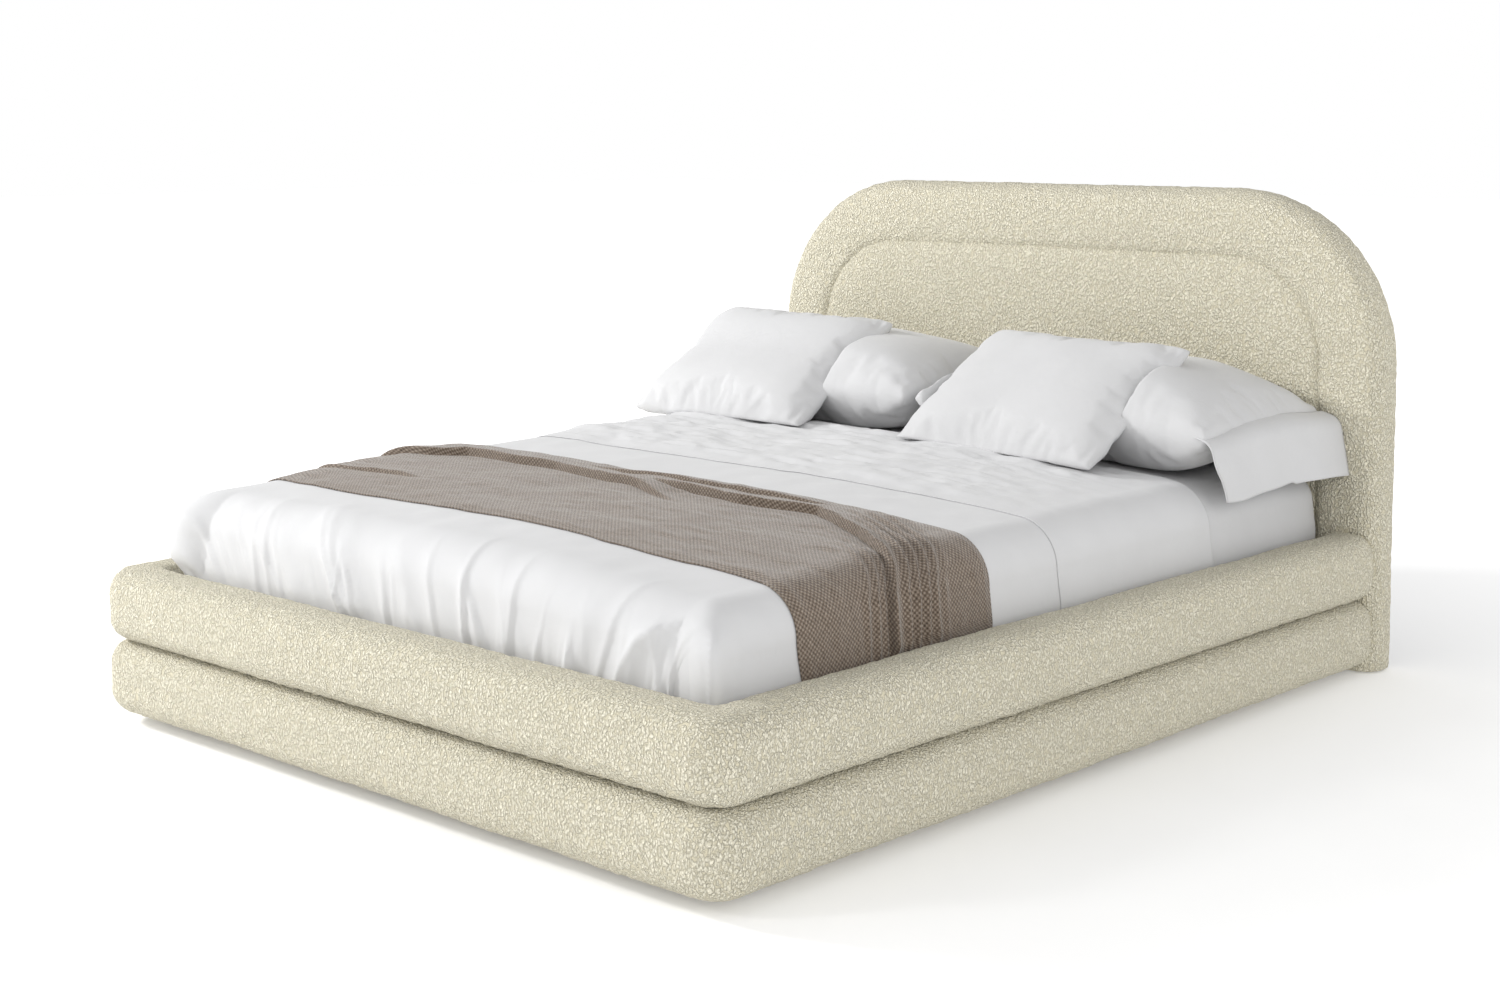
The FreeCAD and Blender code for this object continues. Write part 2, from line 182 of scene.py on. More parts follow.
class Shader:
    """A material built node by node round one Principled shader."""

    def __init__(self, name, roughness, sheen=0.0, metallic=0.0):
        self.material = bpy.data.materials.new(name)
        self.material.use_nodes = True
        self.tree = self.material.node_tree
        self.bsdf = self.tree.nodes["Principled BSDF"]
        self.bsdf.inputs["Roughness"].default_value = roughness
        self.bsdf.inputs["Metallic"].default_value = metallic
        self.bsdf.inputs["Sheen Weight"].default_value = sheen
        self.place = self.node("ShaderNodeTexCoord").outputs["Object"]

    def node(self, kind, settings=(), **inputs):
        n = self.tree.nodes.new(kind)
        for key, value in dict(settings).items():
            setattr(n, key, value)
        for key, value in inputs.items():
            self.feed(n.inputs[key.replace("_", " ")], value)
        return n

    def feed(self, socket, value):
        if isinstance(value, bpy.types.NodeSocket):
            self.tree.links.new(value, socket)
        else:
            socket.default_value = value

    def noise(self, scale, detail=2.0, distortion=0.0, vector=None):
        n = self.node("ShaderNodeTexNoise", Scale=scale, Detail=detail, Distortion=distortion,
                      Vector=vector or self.place)
        return n.outputs[0]

    def cells(self, scale, vector=None, feature="F1"):
        n = self.node("ShaderNodeTexVoronoi", {"feature": feature}, Scale=scale, Vector=vector or self.place)
        return n.outputs["Distance"]

    def math(self, operation, a, b):
        n = self.node("ShaderNodeMath", {"operation": operation})
        self.feed(n.inputs[0], a)
        self.feed(n.inputs[1], b)
        return n.outputs[0]

    def vector_math(self, operation, a, b):
        n = self.node("ShaderNodeVectorMath", {"operation": operation})
        self.feed(n.inputs[0], a)
        self.feed(n.inputs["Scale"] if operation == "SCALE" else n.inputs[1], b)
        return n.outputs[0]

    def mixed(self, *parts):
        """Sum of values, each given with its weight."""
        total = self.math("MULTIPLY", *parts[0])
        for part in parts[1:]:
            total = self.math("ADD", total, self.math("MULTIPLY", *part))
        return total

    def stretched(self, scale, vector=None):
        return self.node("ShaderNodeMapping", Scale=scale, Vector=vector or self.place).outputs[0]

    def color(self, value, stops):
        """Base colour from a value, by colours at its stops."""
        n = self.node("ShaderNodeValToRGB", Fac=value)
        points = n.color_ramp.elements
        while len(points) < len(stops):
            points.new(0.5)
        for element, (at, color) in zip(points, stops):
            element.position = at
            element.color = (*color, 1.0)
        self.feed(self.bsdf.inputs["Base Color"], n.outputs["Color"])

    def bump(self, height, strength, distance, under=None):
        n = self.node("ShaderNodeBump", Height=height, Strength=strength, Distance=distance)
        if under is not None:
            self.feed(n.inputs["Normal"], under)
        self.feed(self.bsdf.inputs["Normal"], n.outputs[0])
        return n.outputs[0]


def warped(s, scale, amount):
    """The surface's own coordinates, pushed about by noise so that patterns curl."""
    push = s.node("ShaderNodeTexNoise", Scale=scale, Detail=1.0, Vector=s.place).outputs["Color"]
    centered = s.vector_math("SUBTRACT", push, (0.5, 0.5, 0.5))
    return s.vector_math("ADD", s.place, s.vector_math("SCALE", centered, amount))


# Boucle: linear colours for its loops: painted shade in the crevices, the wool's own cream on the sides, and
# a painted highlight on the tips
WOOL_CREVICE_SHADE = (0.590, 0.543, 0.402)
WOOL = (0.822, 0.770, 0.600)
WOOL_TIP_HIGHLIGHT = (0.900, 0.855, 0.700)
LOOP_SCALE = 222.0  # loops along a metre
LOOP_ROUNDNESS = 1.5
LOOP_FLOOR = 0.22  # height of the crevices, with the tips at 1
LOOP_RELIEF = 0.0088
CURL_SCALE = 150.0
CURL_AMOUNT = 0.0062
LOOP_STRETCH = (1.0, 1.0, 0.62)


def loops(s, place):
    """Height of wool loops: domes with narrow crevices between them."""
    off_middle = s.cells(LOOP_SCALE, place)
    fall = s.math("MULTIPLY", s.math("MULTIPLY", off_middle, off_middle), LOOP_ROUNDNESS)
    return s.math("MAXIMUM", s.math("SUBTRACT", 1.0, fall), LOOP_FLOOR)


def boucle():
    """Curly wool loops, a little longer than wide, with fuzz on them, painted shade between them and painted
    highlights on their tips.
    """
    s = Shader("boucle", 0.95, sheen=0.15)
    s.bsdf.inputs["Sheen Roughness"].default_value = 0.6
    curl = s.stretched(LOOP_STRETCH, warped(s, CURL_SCALE, CURL_AMOUNT))
    fuzz = s.noise(800.0, 1.0)
    height = s.mixed((loops(s, curl), 0.90), (fuzz, 0.10))
    # Colour follows loop height: painted shade low in the crevices, painted highlight high on the tips.
    s.color(height, [(0.20, WOOL_CREVICE_SHADE), (0.62, WOOL), (0.92, WOOL_TIP_HIGHLIGHT)])
    s.bump(height, 1.0, LOOP_RELIEF)
    return s.material


def cotton(name, tint, slub=0.5):
    """Fine white percale: tiny weave, faint slubs and soft creases."""
    s = Shader(name, 0.85, sheen=0.15)
    threads = s.noise(2200.0, 1.0)
    long_threads = s.noise(1400.0, 1.0, 0.0, s.stretched((1.0, 0.25, 0.25)))
    weave = s.math("MULTIPLY", threads, long_threads)
    creases = s.noise(28.0, 3.0, 1.2)
    tone = s.noise(9.0, 3.0)
    shaded = tuple(c * 0.965 for c in tint)
    s.color(tone, [(0.3, shaded), (0.7, tint)])
    soft = s.bump(creases, 0.12 * slub, 0.01)
    s.bump(weave, 0.25, 0.0006, soft)
    return s.material


# Throw: linear colours of the hollows, the yarn and its crests, and the pitch of two crossing yarns
YARN_HOLLOW = (0.036, 0.025, 0.017)
YARN = (0.158, 0.118, 0.087)
YARN_CREST = (0.37, 0.31, 0.25)
YARN_PITCH = 0.0094
YARN_RELIEF = 0.0030


def throw_cloth():
    """Basket weave of taupe and grey-brown yarn, in cloth coordinates."""
    s = Shader("taupe_throw", 0.95, sheen=0.42)
    s.bsdf.inputs["Sheen Roughness"].default_value = 0.45
    uv = s.node("ShaderNodeUVMap", {"uv_map": "weave"}).outputs[0]
    split = s.node("ShaderNodeSeparateXYZ", Vector=uv)
    turn = 2 * math.pi / YARN_PITCH
    warp = s.math("SINE", s.math("MULTIPLY", split.outputs[0], turn), 0.0)
    weft = s.math("SINE", s.math("MULTIPLY", split.outputs[1], turn), 0.0)
    basket = s.math("MULTIPLY", warp, weft)
    slub = s.noise(60.0, 3.0, 0.0, s.stretched((1.0, 7.0, 1.0), uv))
    cross_slub = s.noise(60.0, 3.0, 0.0, s.stretched((7.0, 1.0, 1.0), uv))
    slubs = s.mixed((slub, 0.55), (cross_slub, 0.45))
    fuzz = s.noise(900.0, 2.0)
    level = s.mixed((basket, 0.20), (slubs, 0.75), (fuzz, 0.30))
    s.color(level, [(0.22, YARN_HOLLOW), (0.52, YARN), (0.80, YARN_CREST)])
    s.bump(level, 0.8, YARN_RELIEF)
    return s.material


def wood(name, light, dark, grain_along):
    """Planed timber with grain along one axis."""
    s = Shader(name, 0.6)
    scale = [30.0, 30.0, 30.0]
    scale["XYZ".index(grain_along)] = 2.0
    rings = s.noise(1.0, 4.0, 1.5, s.stretched(scale))
    fibre = s.noise(12.0, 2.0, 0.0, s.stretched(scale))
    tone = s.mixed((rings, 0.8), (fibre, 0.2))
    s.color(tone, [(0.3, dark), (0.7, light)])
    s.bump(tone, 0.3, 0.001)
    return s.material


def metal(name, tint, roughness, metallic):
    """Speckled metal, or plastic and paint where metallic is 0."""
    s = Shader(name, roughness, metallic=metallic)
    speck = s.noise(600.0, 2.0)
    s.color(speck, [(0.3, tuple(c * 0.85 for c in tint)), (0.7, tint)])
    s.bump(speck, 0.2, 0.0003)
    return s.material


def black_cloth():
    """Thin black non-woven lining."""
    s = Shader("black_lining", 0.95)
    fibre = s.noise(1500.0, 3.0, 2.0)
    s.color(fibre, [(0.3, (0.008, 0.008, 0.009)), (0.75, (0.035, 0.034, 0.036))])
    s.bump(fibre, 0.4, 0.0005)
    return s.material


def ticking():
    """Quilted white mattress cover."""
    s = Shader("mattress_ticking", 0.85)
    quilt = s.cells(14.0, feature="SMOOTH_F1")
    knit = s.noise(900.0, 2.0)
    s.color(quilt, [(0.0, (0.80, 0.80, 0.79)), (0.5, (0.74, 0.74, 0.73))])
    under = s.bump(quilt, 0.5, 0.01)
    s.bump(knit, 0.3, 0.0008, under)
    return s.material


BOUCLE = boucle()
SHEET_COTTON = cotton("white_cotton_sheet", (0.605, 0.605, 0.61))
CASE_COTTON = cotton("white_cotton_case", (0.580, 0.580, 0.585), slub=0.9)
FILLING = cotton("pillow_filling_cotton", (0.76, 0.75, 0.72))
THROW_CLOTH = throw_cloth()
BLACK_CLOTH = black_cloth()
TICKING = ticking()
PLY = wood("plywood_faces", (0.62, 0.47, 0.30), (0.46, 0.33, 0.20), "X")
PINE = ((0.68, 0.50, 0.30), (0.50, 0.34, 0.18))
PINE_X = wood("pine_across", *PINE, "X")
PINE_Y = wood("pine_along", *PINE, "Y")
PINE_Z = wood("pine_upright", *PINE, "Z")
BLACK_STEEL = metal("black_steel", (0.03, 0.03, 0.032), 0.45, 0.0)
ZINC = metal("zinc_plate", (0.62, 0.63, 0.66), 0.35, 1.0)
BLACK_PLASTIC = metal("black_plastic", (0.022, 0.022, 0.022), 0.6, 0.0)

# Materials of the CAD parts that stay, by how their names start. The first that fits is used.
KEPT_MATERIALS = (
    (BLACK_CLOTH, "lining_ headboard_back_cover"), (PLY, "headboard_panel rail_board_"),
    (PINE_Y, "slat_ledge center_beam"), (PINE_X, "headboard_cross_rail slat_"), (PINE_Z, "headboard_post"),
    (BLACK_PLASTIC, "center_leg_glides headboard_glides rail_feet"),
    (BLACK_STEEL, "beam_bracket corner_bracket headboard_bracket center_leg_"),
    (ZINC, "corner_bolts headboard_bolts"))


def dress_kept_nodes():
    """Better materials on the hard CAD parts, which stay as they are."""
    for node in NODES:
        for material, starts in KEPT_MATERIALS:
            if node.startswith(tuple(starts.split())):
                obj = frame["nodes"][node]
                for slot in obj.material_slots:
                    slot.link = "OBJECT"
                    slot.material = material
                break


# ---- boucle frame

PAD_VOXEL = 0.007  # mesh size of the pads
PILE = 0.0020  # how far tufts of loops push the surface in and out
TUFTS = ((0.6, 0.016), (0.5, 0.010))  # share and size of large and small tufts
SWELL = 0.0014  # slow unevenness of the foam
SWELL_SIZE = 0.16
STAND_OFF = 0.0006  # how far the cloth stands off the foam


def piled(mesh, seed):
    """Push the surface in and out like a layer of wool loops over foam."""
    co = coordinates(mesh)
    no = normals(mesh)
    tufts = sum(share * lattice_noise(co, size, seed + i) for i, (share, size) in enumerate(TUFTS))
    swell = lattice_noise(co, SWELL_SIZE, seed + len(TUFTS))
    set_coordinates(mesh, co + no * (STAND_OFF + PILE * tufts + SWELL * swell)[:, None])


def make_tier(name, level, seed):
    """One rail pad that runs round both sides and the foot."""
    nodes = ["%s_pad_%s" % (level, side) for side in ("left", "foot", "right")]
    obj = even_copy(name, nodes, PAD_VOXEL)
    piled(obj.data, seed)
    finished(obj, BOUCLE, "boucle", "frame", *nodes)


def arch_distance(x, z, half_w, top, r):
    """Distance inside an arched outline: positive inside it, negative outside."""
    dx = np.abs(x) - (half_w - r)
    dz = z - (top - r)
    corner = r - np.hypot(np.maximum(dx, 0), np.maximum(dz, 0))
    return np.where((dx > 0) | (dz > 0), corner, np.minimum(half_w - np.abs(x), top - z))


ARCH_R = 0.400
BORDER = BORDER_HIGH.x - CENTER_HIGH.x
SEAM_DEPTH = 0.0055  # the seam is no deeper than this
SEAM_HALF_WIDTH = 0.018
SEAM_RAISE = 0.0005
SEAM_CLOSING = 0.0022  # how far each pad is pressed towards the other at the seam
WALL_NEAR = (0.009, 0.002)  # distances from the seam between which a pad is pressed
WALL_DEPTH = (0.05, 0.03)  # and depths behind the face
FRONT_DEPTH = (0.020, 0.004)  # depths behind the face between which the crown sets in
CENTER_CROWN = 0.0080
BORDER_CROWN = 0.0080
BORDER_FULLNESS = 0.7  # 1 is a sine, and less is fuller
CENTER_ROUNDING = 0.035  # how gently the centre pad rises from its seam


def inside_center(x, z):
    """Distance inside the centre panel's outline, which is the seam."""
    return arch_distance(x, z, CENTER_HIGH.x, CENTER_HIGH.z, ARCH_R - BORDER)


def make_headboard_pad(node, seed, crown):
    """One pad of the headboard: drawn in at the seam between the two, and crowned in front."""
    obj = even_copy(node + "_boucle", [node], PAD_VOXEL)
    co = coordinates(obj.data)
    face = CENTER_LOW.y
    to_seam = np.abs(inside_center(co[:, 0], co[:, 2]))
    groove = face + SEAM_DEPTH * (1 - smoothstep(to_seam, 0.0, SEAM_HALF_WIDTH)) + SEAM_RAISE
    sunk = (to_seam < SEAM_HALF_WIDTH) & (co[:, 1] < face + SEAM_HALF_WIDTH)
    co[:, 1] = np.where(sunk, np.minimum(co[:, 1], groove), co[:, 1])
    at_wall = smoothstep(to_seam, *WALL_NEAR) * smoothstep(co[:, 1] - face, *WALL_DEPTH)
    co += normals(obj.data) * (SEAM_CLOSING * at_wall)[:, None]
    front = smoothstep(co[:, 1] - face, *FRONT_DEPTH)
    co[:, 1] -= front * crown(co[:, 0], co[:, 2])
    set_coordinates(obj.data, co)
    piled(obj.data, seed)
    finished(obj, BOUCLE, "boucle", "frame", node)


def center_crown(x, z):
    return CENTER_CROWN * (1 - np.exp(-np.maximum(inside_center(x, z), 0) / CENTER_ROUNDING))


def border_crown(x, z):
    inside = arch_distance(x, z, BORDER_HIGH.x, BORDER_HIGH.z, ARCH_R)
    t = np.clip(inside / BORDER, 0, 1)
    return BORDER_CROWN * np.sin(math.pi * t) ** BORDER_FULLNESS


# ---- draped bedding

HALF_MATTRESS = MATTRESS_HIGH.x
FOOT_Y = MATTRESS_LOW.y
HEAD_Y = MATTRESS_HIGH.y
TOP_Z = MATTRESS_HIGH.z
EDGE_R = 0.085
CORNER_POWER = 6.0  # how square the upright corners are: 2 is round
CROWN = 0.035  # fall of the top from the middle to the right edge
LEFT_CROWN = 0.002  # and to the left edge, where the bedding is fuller
LEFT_FULLNESS = 0.27  # how much further the bedding stands out on that side
CROWN_POWER = 2.1
LEFT_BOXINESS = 0.36  # how much squarer than round the edge is on that side
FULL_UNTIL = (0.045, 0.085)  # it comes back in between these lengths of hanging cloth
FLARE = 0.14  # how far cloth leans out as it hangs
MOST_FLARE = 0.009
CORNER_BULGE = 0.011  # the tucked corners at the foot stand out by this much
BULGE_START = 0.4  # as a share of the edge's radius
BULGE_LENGTH = 0.22
MIDDLE_RISE = 0.006  # the bed's middle stands above its CAD top
FOOT_DIP = 0.016  # fall of the top towards the foot
FOOT_DIP_LENGTH = 0.50
SIDE_BAND = (HALF_MATTRESS - 0.10, HALF_MATTRESS + 0.02)  # from the top to the hanging sides
TINY = 1e-9


def drape(u, v, lift):
    """Lay cloth over the mattress. Gives points, normals and how far each is past the flat top."""
    r = EDGE_R + lift
    cu = np.clip(u, -(HALF_MATTRESS - EDGE_R), HALF_MATTRESS - EDGE_R)
    cv = np.clip(v, FOOT_Y + EDGE_R, HEAD_Y - EDGE_R)
    ou, ov = u - cu, v - cv
    over = np.hypot(ou, ov)
    du, dv = ou / np.maximum(over, TINY), ov / np.maximum(over, TINY)
    powers = np.abs(du) ** CORNER_POWER + np.abs(dv) ** CORNER_POWER
    square = np.where(over > TINY, np.maximum(powers, TINY) ** (-1 / CORNER_POWER), 0)
    turn = np.minimum(over / r, math.pi / 2)
    hang = np.maximum(over - r * math.pi / 2, 0)
    to_left = np.clip(-du, 0, 1)
    boxy = 1 - LEFT_BOXINESS * to_left
    fuller = LEFT_FULLNESS * to_left * (1 - smoothstep(hang, *FULL_UNTIL))
    out = r * np.sin(turn) ** boxy * square * (1 + fuller) + np.minimum(FLARE * hang, MOST_FLARE)
    diagonal = np.clip(2 * np.abs(du * dv), 0, 1) ** 2
    bulge = np.sin(math.pi * np.clip((over - BULGE_START * r) / BULGE_LENGTH, 0, 1)) ** 2
    out = out + np.where((v < 0) & (over > TINY), CORNER_BULGE * diagonal * bulge, 0.0)
    drop = r * (1 - np.cos(turn) ** boxy) + hang
    fall = np.where(cu < 0, LEFT_CROWN, CROWN)
    top = TOP_Z + lift + MIDDLE_RISE - fall * (np.abs(cu) / HALF_MATTRESS) ** CROWN_POWER
    top = top - FOOT_DIP * smoothstep(cv, FOOT_Y + FOOT_DIP_LENGTH, FOOT_Y + EDGE_R)
    points = np.stack([cu + out * du, cv + out * dv, top - drop], -1)
    normal = np.stack([np.sin(turn) * du, np.sin(turn) * dv, np.cos(turn)], -1)
    return points, normal, over


def on_side(u):
    """0 on the bed's top and 1 on its hanging sides."""
    return smoothstep(np.abs(u), *SIDE_BAND)


def spaced(low, high, step):
    """Even places from low to high, about step apart."""
    return np.linspace(low, high, int((high - low) / step))


COVER_SKIRT = 0.300  # cloth hanging below the start of the rounded edge
PLEAT_STEP = (0.0045, 0.0090)  # mesh steps across the cover and along it, as far as its fold
FOLD_STEP = 0.0065  # and along it from FOLD_ROOM before its fold, with no shorter last step than LAST_STEP
FOLD_ROOM = 0.03
LAST_STEP = 0.002
LAYER_1 = COVER_HIGH.x - HALF_MATTRESS - 0.005
LAYER_2 = COVER_HIGH.x - HALF_MATTRESS
FOLD_EDGE = COVER_HIGH.y
FOLD_HEM = -0.030
HEM_GAP = 0.0006  # height of the turned-back hem over the layer below
HEM_SETTLE = 0.12  # length over which the turned-back layer comes down to its hem
COVER_THICKNESS = 0.0010
COVER_START = FOOT_Y + EDGE_R - COVER_SKIRT
COVER_WAVES = ((0.0030, (0.16, 0.20), 11), (0.0012, (0.05, 0.07), 12))
WAVES_ON_SIDE = 0.4  # share of them that is left on the hanging sides

# Families of drag folds: how many, half width, height and reach up the cloth, each as low and high
PLEATS = ((8, (0.022, 0.042), (0.0040, 0.0070), (0.26, 0.46)),
          (28, (0.0055, 0.0100), (0.0036, 0.0090), (0.15, 0.38)),
          (44, (0.0035, 0.0060), (0.0014, 0.0036), (0.12, 0.30)))
PLEATS_FROM_TO = (-0.80, 0.76)  # where across the foot they start
PLEAT_LEAN = (-0.42, 0.22)  # mean and spread of their slope
PLEAT_FAN = 0.65  # slope that they gain across the foot
PLEAT_BEND = 0.25  # spread of their bend
PLEAT_UPRIGHT = 0.10  # length above the tuck before they lean
PLEAT_WIDENING = 1.1  # how much wider they are at their top
RIGHT_FLANK = 1.9  # how steep their right and left flanks are
LEFT_FLANK = 0.8
FLANK_POWER = 1.5
PLEAT_GROWTH = (0.02, 0.10)  # lengths above the tuck between which they grow
PLEAT_FADE = 0.30  # share of their reach from which they die out


def foot_pleats(u, v):
    """Drag folds that rise from the tuck at the foot and die out on the top."""
    rng = np.random.default_rng(5)
    up = v - COVER_START
    leaning = np.maximum(up - PLEAT_UPRIGHT, 0)
    total = np.zeros(u.shape)
    for count, widths, heights, reaches in PLEATS:
        for x in rng.uniform(*PLEATS_FROM_TO, count):
            lean = rng.normal(*PLEAT_LEAN) + PLEAT_FAN * x
            width = rng.uniform(*widths)
            height = rng.uniform(*heights)
            reach = rng.uniform(*reaches)
            bend = lean * (up - PLEAT_UPRIGHT) + rng.normal(0, PLEAT_BEND) * leaning ** 2
            across = (u - x - bend) / (width * (1 + PLEAT_WIDENING * up / reach))
            flank = np.where(across > 0, across * RIGHT_FLANK, -across * LEFT_FLANK)
            rise = smoothstep(up, *PLEAT_GROWTH) * (1 - smoothstep(up, PLEAT_FADE * reach, reach))
            total += height * np.exp(-flank ** FLANK_POWER) * rise
    return total


# The tucked corner: its slanting edge stands out, and the cloth falls back behind it
LOBE_CREST = 0.018
CREST_WIDTH = 0.030
LOBE_HOLLOW = 0.007
HOLLOW_POWER = 0.8
LOBE_REACH = 0.125  # how far along the foot the slanting edge has come at the bottom
LOBE_START = 0.085  # lengths past the flat top where the edge starts and how soon it comes away
LOBE_EASE = 0.055
LOBE_GROWTH = (0.07, 0.12)
LOBE_FADE = (COVER_SKIRT - 0.035, COVER_SKIRT - 0.085)
SHORTEST_LOBE = 0.004
CORNER_RIDGE = 0.0085  # the upright edge of the tuck
RIDGE_RISE = (30.0, 43.0)  # degrees round the corner where it rises, ends and leaves a hollow
RIDGE_END = (48.5, 45.5)
HOLLOW_RISE = (44.0, 70.0)


def corner_pleat(u, v):
    """The tucked corner at the near right: a slanting fold on the foot, then an upright edge."""
    ou = u - (HALF_MATTRESS - EDGE_R)
    ov = v - (FOOT_Y + EDGE_R)
    hang = np.where(ou > 0, np.hypot(ou, ov), -ov)
    angle = np.degrees(np.arctan2(-ov, ou))
    hangs = smoothstep(hang, *LOBE_GROWTH) * smoothstep(hang, *LOBE_FADE)
    line = -LOBE_REACH * (1 - np.exp(-np.maximum(hang - LOBE_START, 0) / LOBE_EASE))
    past = ou - line
    behind = np.clip(past / np.maximum(-line, SHORTEST_LOBE), 0, 1)
    on_foot = np.where(past < 0, LOBE_CREST * np.exp(past / CREST_WIDTH),
                       LOBE_CREST - (LOBE_CREST + LOBE_HOLLOW) * behind ** HOLLOW_POWER)
    ridge = smoothstep(angle, *RIDGE_END) * smoothstep(angle, *RIDGE_RISE)
    in_corner = -LOBE_HOLLOW * smoothstep(angle, *HOLLOW_RISE) + CORNER_RIDGE * ridge
    shape = np.where(ou < 0, on_foot, in_corner)
    return np.where(ov < 0, hangs * shape, 0.0)


def cover_waves(u, v):
    """Slow unevenness of the cover, calmer on its hanging sides."""
    return layered(u, v, COVER_WAVES) * (1 - (1 - WAVES_ON_SIDE) * on_side(u))


# Crumples of the turned-back part: how its ripples wander, their layers, and sharper creases on them
RIPPLE_WANDER = ((0.016, (0.15, 0.10), 20),)
RIPPLE_LAYERS = ((1.0, (0.110, 0.026), 21), (0.65, (0.055, 0.016), 22))
RIPPLE_HEIGHT = 0.0056
CREASE_HEIGHT = 0.0024
CREASE_SIZE = (0.050, 0.015)
CREASE_SHARPNESS = 1.6
CALM_RIGHT = (0.40, 0.70)  # places across the bed between which the crumples calm down
CALM_SHARE = 0.85
HEM_SHARE = 0.04  # and what is left of them at the hem
HEM_GROWTH = (FOLD_HEM + 0.005, FOLD_HEM + 0.070)


def crumples(u, v):
    """Long fine ripples of the turned-back part, calmer to the right and at its hem."""
    wandering = v + layered(u, v, RIPPLE_WANDER)
    ripples = RIPPLE_HEIGHT * (1 + layered(u, wandering, RIPPLE_LAYERS))
    creases = 1 - np.abs(cloth_noise(u, wandering, CREASE_SIZE, 23)) * CREASE_SHARPNESS
    height = np.maximum(ripples + CREASE_HEIGHT * creases, 0)
    from_hem = HEM_SHARE + (1 - HEM_SHARE) * smoothstep(v, *HEM_GROWTH)
    return height * (1 - CALM_SHARE * smoothstep(u, *CALM_RIGHT)) * (1 - on_side(u)) * from_hem


def make_top_cover():
    """One cover: up from the foot, folded at its head end and turned back over itself."""
    half = HALF_MATTRESS - EDGE_R + COVER_SKIRT
    gap = (LAYER_2 - LAYER_1) / 2
    first = FOLD_EDGE - COVER_START
    second = first + math.pi * gap
    length = second + FOLD_EDGE - FOLD_HEM
    at_fold = first - FOLD_ROOM
    ws = np.concatenate([np.arange(0, at_fold, PLEAT_STEP[1]), np.arange(at_fold, length, FOLD_STEP)])
    ws = np.append(ws[ws < length - LAST_STEP], length)
    u, w = np.meshgrid(spaced(-half, half, PLEAT_STEP[0]), ws)
    turning = np.clip((w - first) / gap, 0, math.pi)
    lower_v = COVER_START + np.minimum(w, first) + gap * np.sin(turning)
    v = np.where(w < second, lower_v, FOLD_EDGE - (w - second))
    upper = w > second
    lift = LAYER_1 + gap * (1 - np.cos(turning))
    settle = smoothstep(v, FOLD_HEM + HEM_SETTLE, FOLD_HEM)
    lift = np.where(upper, lift - settle * (2 * gap - HEM_GAP), lift)
    points, normal, _ = drape(u, v, lift)
    push = foot_pleats(u, v) + corner_pleat(u, v) + cover_waves(u, v)
    push = np.where(upper, push + crumples(u, v), push)
    points = points + normal * push[..., None]
    obj = grid_mesh("top_cover_cloth", points, np.stack([u, w], -1))
    trim_below(obj, COVER_LOW.z)
    thicken(obj, COVER_THICKNESS)
    finished(obj, SHEET_COTTON, "white_cotton", "mattress", "top_cover")


def trim_below(obj, z):
    """Cut away cloth that would hang lower than its CAD skin."""
    bm = bmesh.new()
    bm.from_mesh(obj.data)
    low = [vert for vert in bm.verts if vert.co.z < z]
    bmesh.ops.delete(bm, geom=low, context="VERTS")
    bm.to_mesh(obj.data)
    bm.free()


def thicken(obj, thickness):
    """Give a surface its thickness, inwards."""
    solid = obj.modifiers.new("thickness", "SOLIDIFY")
    solid.thickness = thickness
    solid.offset = -1.0
    solid.use_rim = True


TUCKED_SKIRT = 0.290  # cloth of the fitted sheet and the throw past the flat top
SHEET_STEP = 0.011
SHEET_LIFT = 0.0010
SHEET_THICKNESS = 0.0006
SHEET_CLEARANCE = 0.003  # its lower edge stays this far above the mattress's bottom
SHEET_PULL = ((0.0016, (0.05, 0.16), 31),)
PULL_GROWTH = (0.0, 0.10)  # lengths past the flat top between which the drag lines grow
PULL_PLACE = (0.45, 0.60)  # and places along the bed


def make_fitted_sheet():
    """The sheet stretched over the mattress, with faint drag lines where it shows."""
    half = HALF_MATTRESS - EDGE_R + TUCKED_SKIRT
    v0 = FOOT_Y + EDGE_R - TUCKED_SKIRT
    v1 = HEAD_Y - EDGE_R + TUCKED_SKIRT
    u, v = np.meshgrid(spaced(-half, half, SHEET_STEP), spaced(v0, v1, SHEET_STEP))
    points, normal, over = drape(u, v, SHEET_LIFT)
    pull = layered(u, v, SHEET_PULL) * smoothstep(over, *PULL_GROWTH) * smoothstep(v, *PULL_PLACE)
    points = points + normal * pull[..., None]
    obj = grid_mesh("fitted_sheet_cloth", points, np.stack([u, v], -1))
    trim_below(obj, MATTRESS_LOW.z + SHEET_CLEARANCE)
    thicken(obj, SHEET_THICKNESS)
    finished(obj, SHEET_COTTON, "white_cotton", "mattress", "fitted_sheet")


MATTRESS_VOXEL = 0.020
MATTRESS_SINK = 0.020  # the top lies this far below the CAD top, so that the bedding clears it
RIM_SINK = 0.022  # and its rim this much further
MATTRESS_SHRINK = 0.004
SINK_HEIGHTS = (MATTRESS_LOW.z + 0.10, TOP_Z - 0.03)


